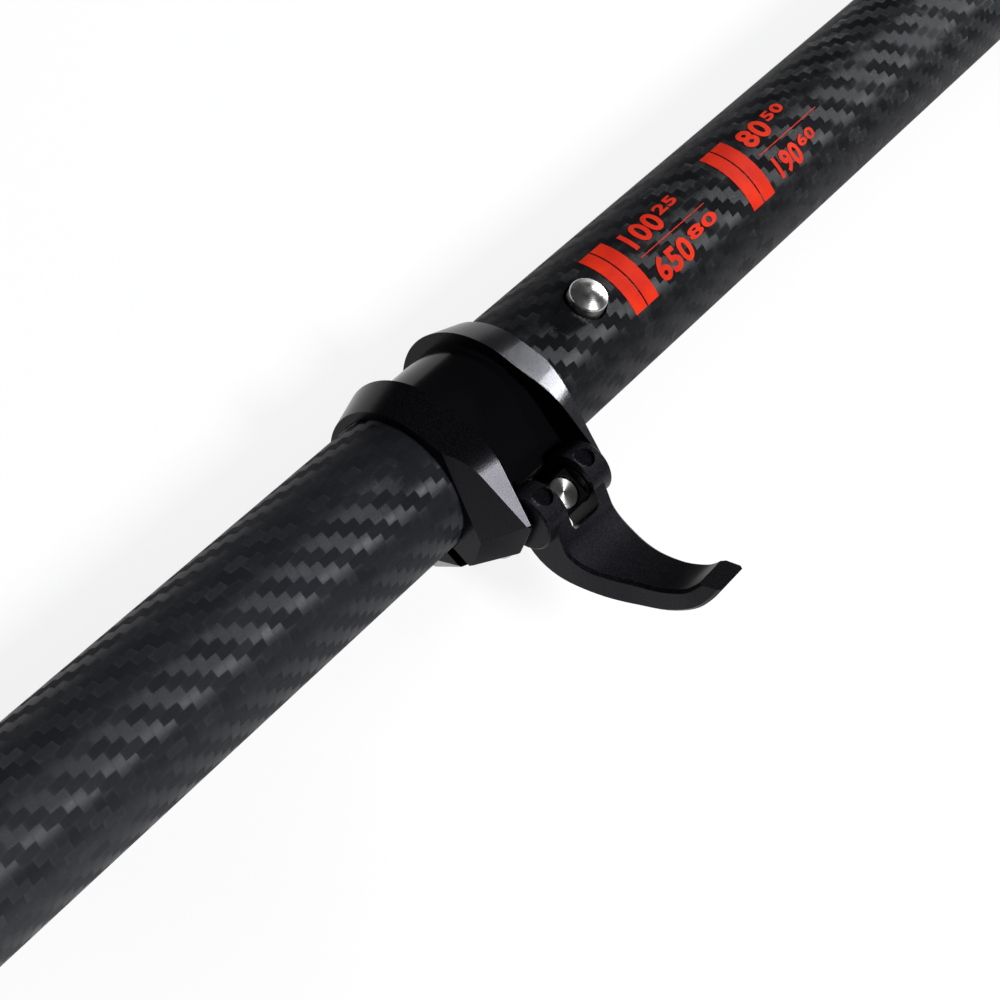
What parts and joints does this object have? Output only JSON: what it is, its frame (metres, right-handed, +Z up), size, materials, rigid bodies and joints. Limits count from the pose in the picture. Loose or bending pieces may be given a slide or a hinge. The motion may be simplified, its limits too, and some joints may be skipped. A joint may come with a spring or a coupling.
{
  "type": "stand-up paddleboard paddle",
  "caption": "Take-apart paddle for a stand-up paddleboard: blade section on a snap-button ferrule joint under a quick-release lever clamp, and a telescoping handle with a palm grip.",
  "frame": {"origin": "centre of the footprint, on the floor under the paddle as it lies on its clamps and its grip", "axes": "+X along the shaft towards the blade, +Z up out of the blade's raised face; the snap button is on top"},
  "size_m": [1.8608, 0.191, 0.0746],
  "materials": {
    "woven_carbon": "satin twill weave",
    "blade_carbon": "satin",
    "anodised_collar": "black anodised, fine blasted",
    "anodised_lever": "black anodised, fine blasted",
    "black_barrel": "blackened",
    "polished_steel": "polished",
    "ferrule_laminate": "ground laminate",
    "plug_foam": "foam",
    "moulded_grip": "fine moulded grain"
  },
  "bodies": {
    "shaft": {"blade": "blade_carbon", "blade_shaft": "woven_carbon", "blade_shaft_plug": "plug_foam", "lower_clamp_collar": "anodised_collar", "lower_clamp_barrel": "black_barrel", "lower_clamp_bolt": "polished_steel", "lower_clamp_washer": "polished_steel", "middle_shaft": "woven_carbon", "joint_ferrule": "ferrule_laminate", "ferrule_plug": "plug_foam", "button_spring": "polished_steel", "upper_clamp_collar": "anodised_collar", "upper_clamp_barrel": "black_barrel", "upper_clamp_bolt": "polished_steel", "upper_clamp_washer": "polished_steel"},
    "lower_lever": {"lower_clamp_lever": "anodised_lever"},
    "upper_lever": {"upper_clamp_lever": "anodised_lever"},
    "button": {"snap_button": "polished_steel"},
    "handle": {"handle_shaft": "woven_carbon", "handle_shaft_plug": "plug_foam", "palm_grip": "moulded_grip", "grip_insert": "plug_foam"}
  },
  "joints": [
    {"name": "lower_lever_hinge", "type": "hinge", "parent": "shaft", "child": "lower_lever", "pos_m": [0.2455, -0.02279, 0.02699], "axis": [-1, 0, 0], "range_deg": [0, 145]},
    {"name": "upper_lever_hinge", "type": "hinge", "parent": "shaft", "child": "upper_lever", "pos_m": [-0.5447, -0.02279, 0.02699], "axis": [1, 0, 0], "range_deg": [0, 145]},
    {"name": "snap_button_press", "type": "slide", "parent": "shaft", "child": "button", "axis": [0, 0, -1], "range_m": [0, 0.0048], "stiffness_N_per_m": 900, "springref_m": -0.004, "deforming": ["button_spring"]},
    {"name": "handle_slide", "type": "slide", "parent": "shaft", "child": "handle", "axis": [-1, 0, 0], "range_m": [-0.16, 0.24]}
  ]
}
